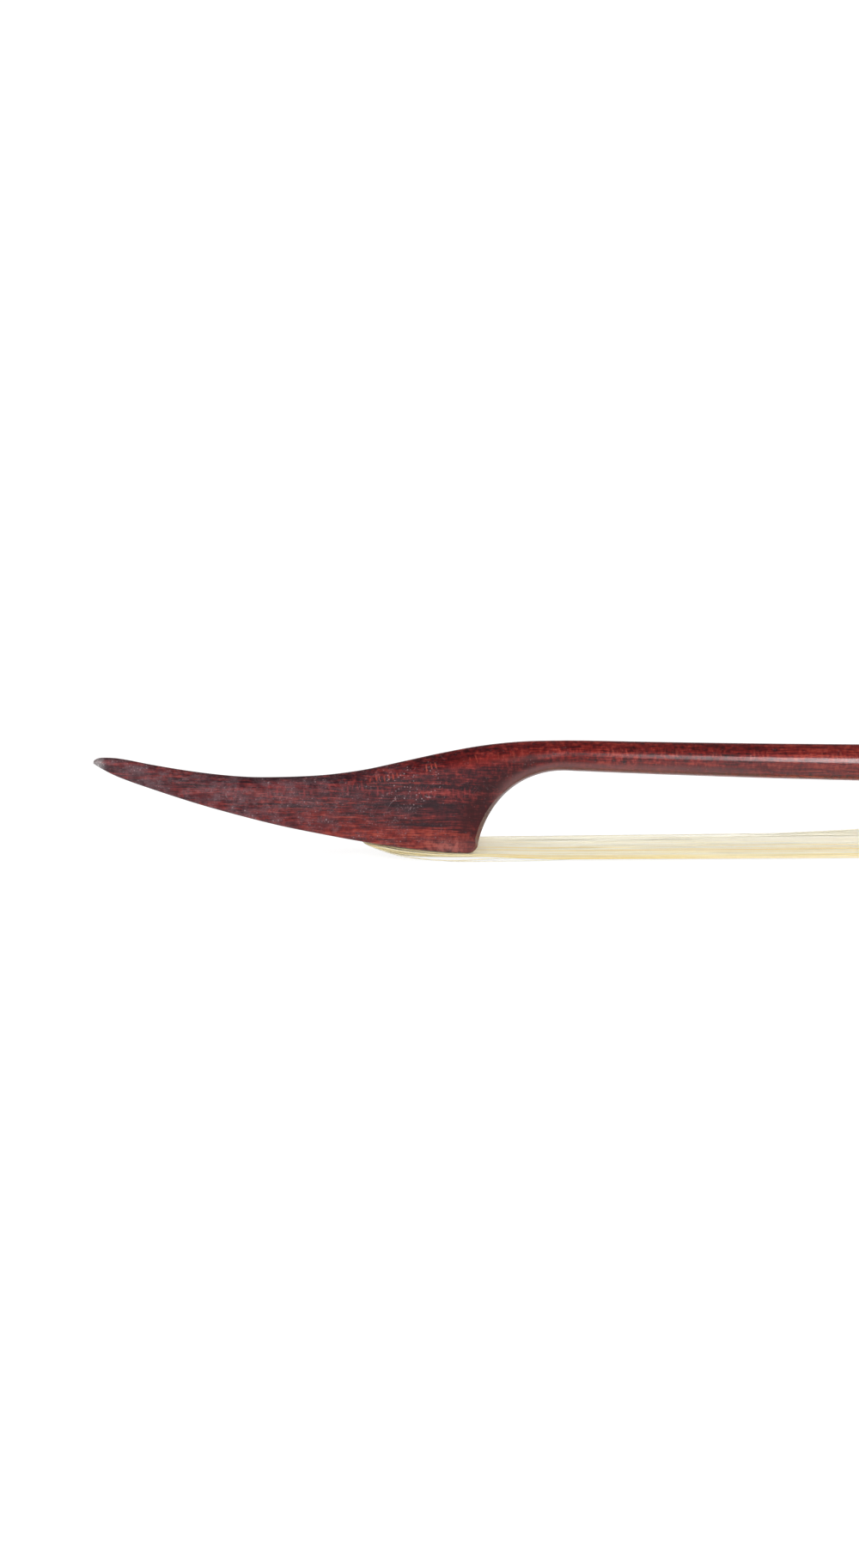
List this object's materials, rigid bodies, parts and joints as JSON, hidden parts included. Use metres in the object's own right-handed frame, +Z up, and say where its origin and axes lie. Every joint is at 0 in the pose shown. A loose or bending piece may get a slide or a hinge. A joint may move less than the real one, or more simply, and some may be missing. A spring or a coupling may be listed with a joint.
{
  "type": "baroque viola bow",
  "caption": "Early viola bow with a long pointed head, a slender round stick, flat horsehair, an open frog and a screw button that tightens the hair.",
  "frame": {"origin": "middle of the bow's length and width, on the surface that it lies on with its hair down", "axes": "+X from the bill of the head to the button, +Y across the bow, +Z up from the hair to the stick"},
  "size_m": [0.7236, 0.0128, 0.0253],
  "materials": {
    "figured_hardwood": "gloss",
    "dark_hardwood": "gloss",
    "plug_wood": "matte",
    "horsehair": "satin",
    "rosin_set_hair": "gloss",
    "linen_thread": "matte",
    "brass": "satin",
    "steel": "satin",
    "bone": "satin"
  },
  "bodies": {
    "stick": {"stick": "figured_hardwood", "head_plug": "plug_wood", "head_knot": "rosin_set_hair", "head_knot_thread": "linen_thread", "hair_at_head": "horsehair", "hair_ribbon": "horsehair"},
    "frog": {"frog": "dark_hardwood", "frog_plug": "plug_wood", "frog_knot": "rosin_set_hair", "frog_knot_thread": "linen_thread", "hair_in_frog": "horsehair", "eyelet": "brass"},
    "screw": {"screw": "steel", "button": "bone"}
  },
  "joints": [
    {"name": "screw_turn", "type": "hinge", "parent": "stick", "child": "screw", "pos_m": [0.343, 0, 0.0204], "axis": [-1, 0, 0], "range_deg": [0, 2160]},
    {"name": "frog_slide", "type": "slide", "parent": "stick", "child": "frog", "axis": [1, 0, 0], "range_m": [0, 0.0045], "deforming": ["hair_ribbon"]}
  ],
  "couplings": [
    {"joint": "screw_turn", "follows": "frog_slide", "rad_per_m": 8377.6}
  ]
}
